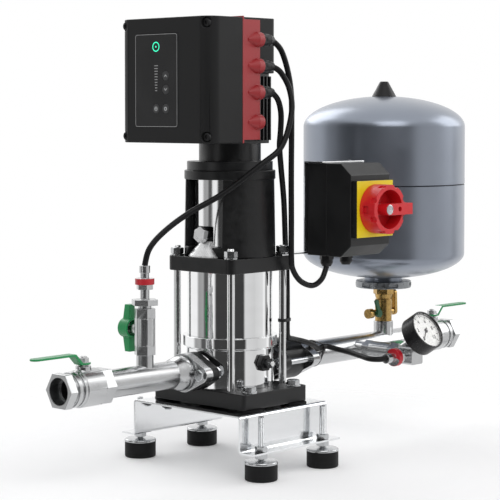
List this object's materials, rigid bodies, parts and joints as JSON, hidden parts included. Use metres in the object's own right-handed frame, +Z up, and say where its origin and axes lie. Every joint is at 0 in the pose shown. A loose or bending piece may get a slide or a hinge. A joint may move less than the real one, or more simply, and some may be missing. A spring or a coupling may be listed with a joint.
{
  "type": "booster pump set",
  "caption": "Booster pump set: vertical pump with a speed drive on a folded base frame, piped to ball valves, a pressure tank, a gauge, pressure sensors and a main switch.",
  "frame": {"origin": "on the floor, midway between the feet and under the pump shaft", "axes": "+X along the pipes from inlet to outlet, +Z up along the shaft, -Y towards the switch and the gauge"},
  "size_m": [1.029, 0.3589, 0.7017],
  "materials": {
    "polished_sheet": "polished",
    "polished_steel": "mirror polished",
    "bolt_steel": "zinc plated",
    "stainless": "satin",
    "inner_steel": "turned",
    "black_casting": "satin black paint",
    "black_rubber": "matte",
    "motor_black": "satin black paint",
    "heat_sink": "dark coated",
    "drive_grey": "fine grain",
    "red_plastic": "satin",
    "panel_black": "gloss",
    "button_grey": "matte",
    "black_plastic": "fine grain",
    "black_screw": "black oxide",
    "green_lever": "satin paint",
    "gauge_black": "semi gloss",
    "pointer_black": "matte",
    "tank_blue": "metallic paint",
    "galvanised": "galvanised",
    "brass": "tumbled",
    "dark_green": "satin",
    "yellow_plastic": "satin",
    "knob_red": "satin",
    "cable_black": "satin"
  },
  "bodies": {
    "set": {"base_frame": "polished_sheet", "rubber_mounts": "black_rubber", "foot_studs": "bolt_steel", "pump_base": "black_casting", "base_bolts": "bolt_steel", "pump_chamber": "polished_steel", "pump_sleeve": "polished_steel", "stage_chambers": "inner_steel", "staybolts": "bolt_steel", "pump_head": "black_casting", "pump_plugs": "bolt_steel", "shaft_bearings": "inner_steel", "motor_stool": "black_casting", "coupling_guards": "polished_sheet", "motor_body": "motor_black", "fan_cover": "drive_grey", "drive_box": "heat_sink", "gland_strip": "red_plastic", "drive_cover": "drive_grey", "cover_screws": "black_screw", "control_panel": "panel_black", "cable_glands": "black_plastic", "clamp_flanges": "black_casting", "flange_bolts": "bolt_steel", "inlet_pipe": "stainless", "outlet_pipe": "stainless", "inlet_valve_body": "stainless", "outlet_valve_body": "stainless", "sensor_valve_bodies": "stainless", "pressure_sensors": "stainless", "sensor_block": "stainless", "gauge_case": "gauge_black", "tank_shell": "tank_blue", "tank_cap": "black_plastic", "tank_ring": "galvanised", "tank_valve": "brass", "switch_bracket": "polished_sheet", "switch_base": "black_plastic", "switch_cover": "black_plastic", "switch_plate": "yellow_plastic", "inlet_sensor_cable": "cable_black", "outlet_sensor_cable": "cable_black", "power_cable": "cable_black", "cable_ties": "black_plastic"},
    "rotor": {"pump_shaft": "inner_steel", "impellers": "inner_steel", "shaft_coupling": "inner_steel", "motor_rotor": "inner_steel"},
    "inlet_lever": {"inlet_lever": "green_lever"},
    "outlet_lever": {"outlet_lever": "green_lever"},
    "inlet_sensor_handle": {"inlet_sensor_handle": "green_lever"},
    "outlet_sensor_handle": {"outlet_sensor_handle": "green_lever"},
    "gauge_pointer": {"gauge_pointer": "pointer_black"},
    "tank_valve_lever": {"tank_valve_lever": "brass"},
    "drain_handle": {"drain_handle": "dark_green"},
    "switch_knob": {"switch_knob": "knob_red"},
    "button_up": {"button_up": "button_grey"},
    "button_down": {"button_down": "button_grey"},
    "button_left": {"button_left": "button_grey"},
    "button_right": {"button_right": "button_grey"}
  },
  "joints": [
    {"name": "rotor_spin", "type": "hinge", "parent": "set", "child": "rotor", "pos_m": [0, 0, 0.3], "axis": [0, 0, 1], "continuous": true},
    {"name": "inlet_lever_turn", "type": "hinge", "parent": "set", "child": "inlet_lever", "pos_m": [-0.308, 0, 0.15225], "axis": [0, 0, 1], "range_deg": [0, 90]},
    {"name": "outlet_lever_turn", "type": "hinge", "parent": "set", "child": "outlet_lever", "pos_m": [0.525, 0, 0.15225], "axis": [0, 0, 1], "range_deg": [0, 90]},
    {"name": "inlet_sensor_handle_turn", "type": "hinge", "parent": "set", "child": "inlet_sensor_handle", "pos_m": [-0.185, 0, 0.22675], "axis": [0, 1, 0], "range_deg": [0, 90]},
    {"name": "outlet_sensor_handle_turn", "type": "hinge", "parent": "set", "child": "outlet_sensor_handle", "pos_m": [0.296, -0.074, 0.15225], "axis": [1, 0, 0], "range_deg": [0, 90]},
    {"name": "gauge_pointer_swing", "type": "hinge", "parent": "set", "child": "gauge_pointer", "pos_m": [0.296, -0.167, 0.19775], "axis": [0, 0.8387, -0.5446], "range_deg": [0, 270]},
    {"name": "tank_valve_lever_turn", "type": "hinge", "parent": "set", "child": "tank_valve_lever", "pos_m": [0.386, 0, 0.20575], "axis": [1, 0, 0], "range_deg": [0, 90]},
    {"name": "drain_handle_turn", "type": "hinge", "parent": "set", "child": "drain_handle", "pos_m": [0.361, 0, 0.20575], "axis": [0, -1, 0], "range_deg": [0, 90]},
    {"name": "switch_knob_turn", "type": "hinge", "parent": "set", "child": "switch_knob", "pos_m": [0.162, -0.18, 0.40175], "axis": [0, 1, 0], "range_deg": [0, 90]},
    {"name": "button_up_press", "type": "slide", "parent": "set", "child": "button_up", "axis": [1, 0, 0], "range_m": [0, 0.001], "stiffness_N_per_m": 300},
    {"name": "button_down_press", "type": "slide", "parent": "set", "child": "button_down", "axis": [1, 0, 0], "range_m": [0, 0.001], "stiffness_N_per_m": 300},
    {"name": "button_left_press", "type": "slide", "parent": "set", "child": "button_left", "axis": [1, 0, 0], "range_m": [0, 0.001], "stiffness_N_per_m": 300},
    {"name": "button_right_press", "type": "slide", "parent": "set", "child": "button_right", "axis": [1, 0, 0], "range_m": [0, 0.001], "stiffness_N_per_m": 300}
  ]
}
